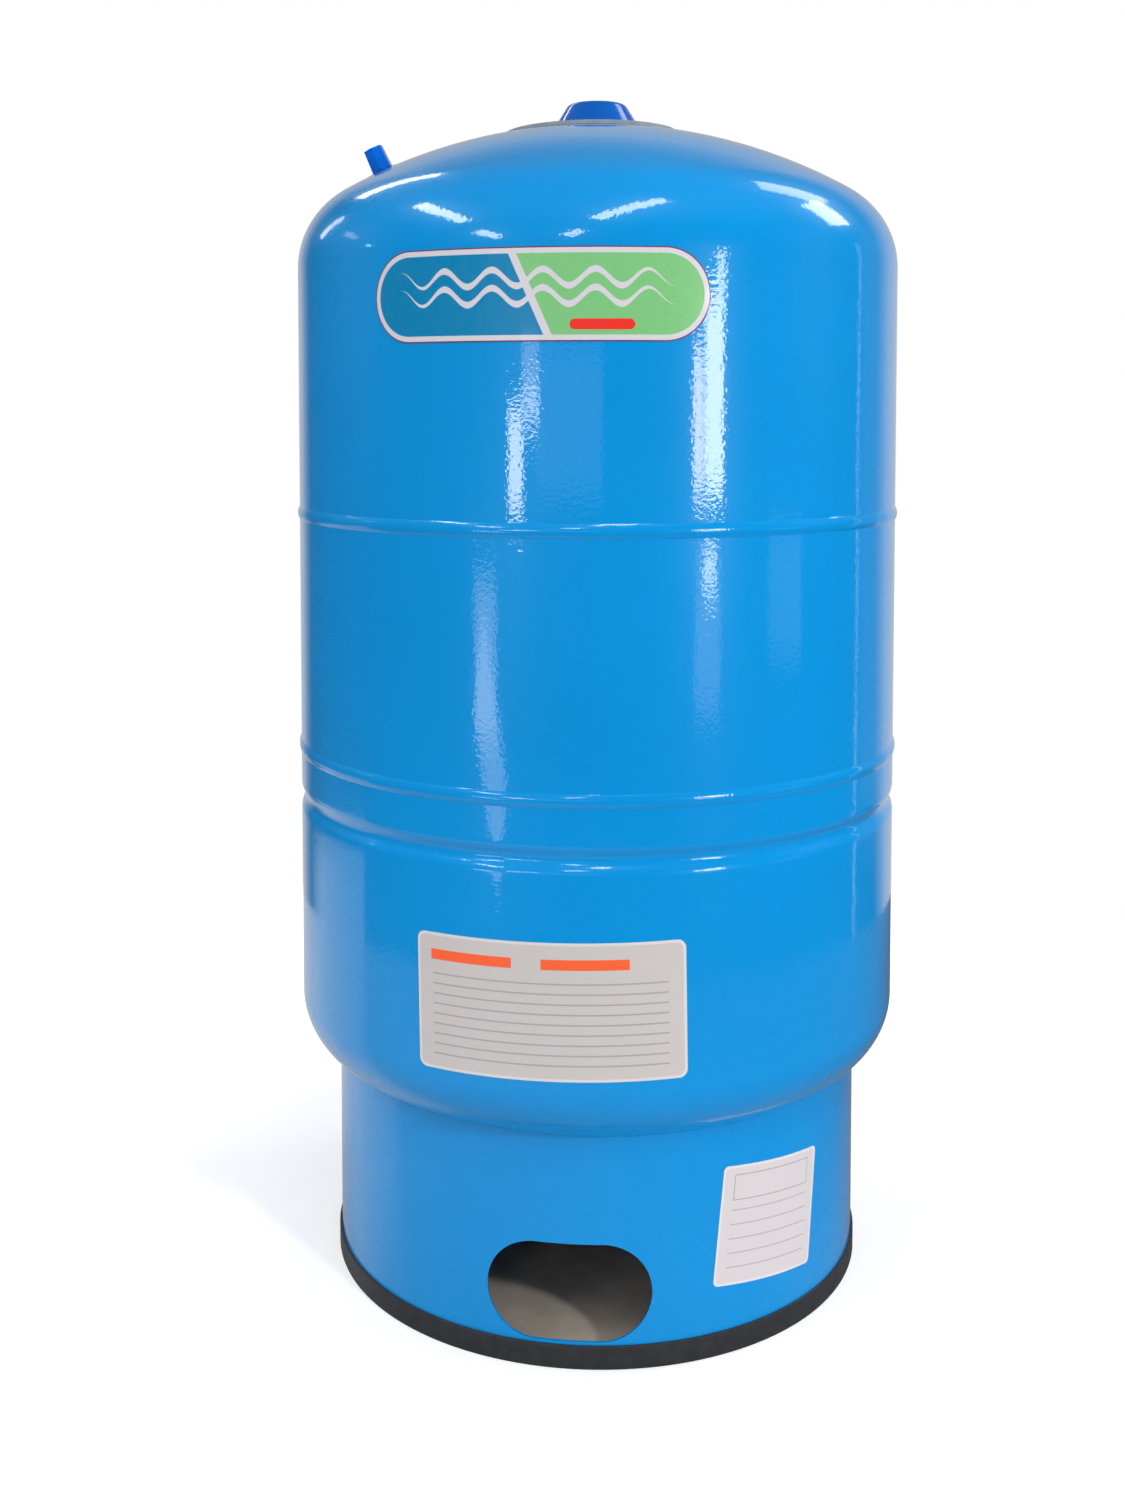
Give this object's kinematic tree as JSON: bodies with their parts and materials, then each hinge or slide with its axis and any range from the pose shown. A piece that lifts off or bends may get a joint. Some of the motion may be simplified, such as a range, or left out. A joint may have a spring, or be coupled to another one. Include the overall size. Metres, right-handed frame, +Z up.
{
  "type": "well pressure tank",
  "caption": "Upright steel diaphragm pressure tank on a welded skirt, with girth welds, a rolled groove, an air valve on its dome and a pipe elbow under it.",
  "frame": {"origin": "on the floor, on the tank's axis", "axes": "+Z up along the tank's axis; the hand hole and the pipe connection face -Y; the air valve is on the -X side of the dome"},
  "size_m": [0.3932, 0.3932, 0.7543],
  "materials": {
    "tank_enamel": "glossy enamel",
    "liner_plastic": "satin",
    "diaphragm_rubber": "matte",
    "ring_steel": "bare",
    "stainless": "satin",
    "seal_rubber": "matte",
    "diffuser_plastic": "satin",
    "foot_plastic": "satin",
    "disc_plastic": "satin",
    "cover_plastic": "glossy",
    "valve_disc_rubber": "matte",
    "valve_brass": "turned",
    "spring_steel": "drawn wire",
    "valve_cap_plastic": "glossy",
    "upper_label_film": "glossy film",
    "lower_label_film": "satin film",
    "data_label_film": "satin film"
  },
  "bodies": {
    "tank": {"upper_head": "tank_enamel", "middle_band": "tank_enamel", "lower_head": "tank_enamel", "upper_girth_weld": "tank_enamel", "lower_girth_weld": "tank_enamel", "liner": "liner_plastic", "diaphragm": "diaphragm_rubber", "clench_ring": "ring_steel", "outlet_neck": "stainless", "neck_gasket": "seal_rubber", "neck_weld": "stainless", "diffuser": "diffuser_plastic", "outlet_elbow": "stainless", "skirt": "tank_enamel", "skirt_welds": "tank_enamel", "foot_ring": "foot_plastic", "top_boss": "ring_steel", "top_disc": "disc_plastic", "valve_disc": "valve_disc_rubber", "valve_stem": "valve_brass", "valve_core": "valve_brass", "valve_spring": "spring_steel", "upper_label": "upper_label_film", "lower_label": "lower_label_film", "data_label": "data_label_film"},
    "top_cap": {"top_cap": "cover_plastic"},
    "valve_cap": {"valve_cap": "valve_cap_plastic", "cap_o_ring": "seal_rubber"},
    "valve_pin": {"valve_pin": "valve_brass", "valve_seal": "seal_rubber"}
  },
  "joints": [
    {"name": "top_cap_lift", "type": "slide", "parent": "tank", "child": "top_cap", "axis": [0, 0, 1], "range_m": [0, 0.025]},
    {"name": "valve_cap_unscrew", "type": "slide", "parent": "tank", "child": "valve_cap", "axis": [-0.4119, -0.0579, 0.9094], "range_m": [0, 0.02]},
    {"name": "valve_pin_press", "type": "slide", "parent": "tank", "child": "valve_pin", "axis": [0.4119, 0.0579, -0.9094], "range_m": [0, 0.0012], "stiffness_N_per_m": 400, "deforming": ["valve_spring"]}
  ]
}
